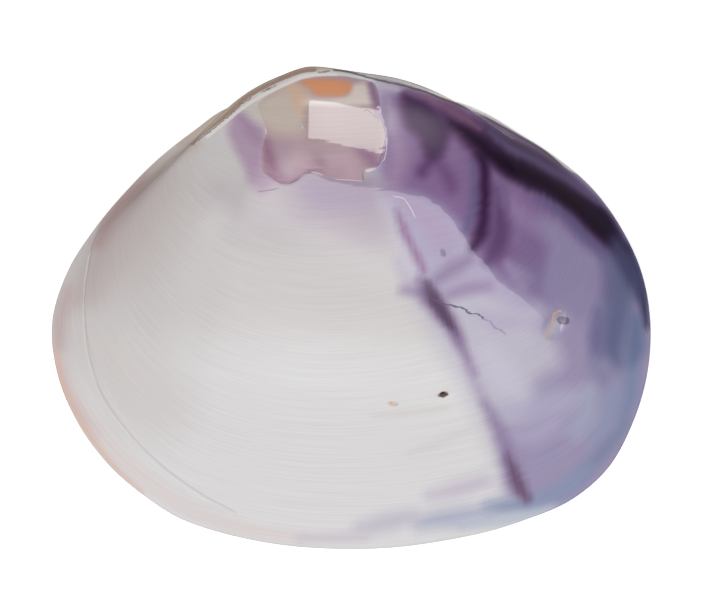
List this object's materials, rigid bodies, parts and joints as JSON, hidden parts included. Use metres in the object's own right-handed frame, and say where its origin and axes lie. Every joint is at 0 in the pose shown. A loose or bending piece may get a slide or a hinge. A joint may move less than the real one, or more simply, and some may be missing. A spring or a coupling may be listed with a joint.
{
  "type": "freshwater clam shell",
  "caption": "Single left valve of a freshwater clam shell, polished outer face up, hollow below, with a hinge plate and teeth inside.",
  "frame": {"origin": "centre of the valve's box on the resting plane", "axes": "+X towards the siphon (back) end, +Y towards the beak, +Z out of the convex face; the edge rests on z = 0"},
  "size_m": [0.08, 0.0642, 0.0202],
  "materials": {
    "shell": "polished"
  },
  "bodies": {
    "root": {"left_valve": "shell"}
  },
  "joints": []
}
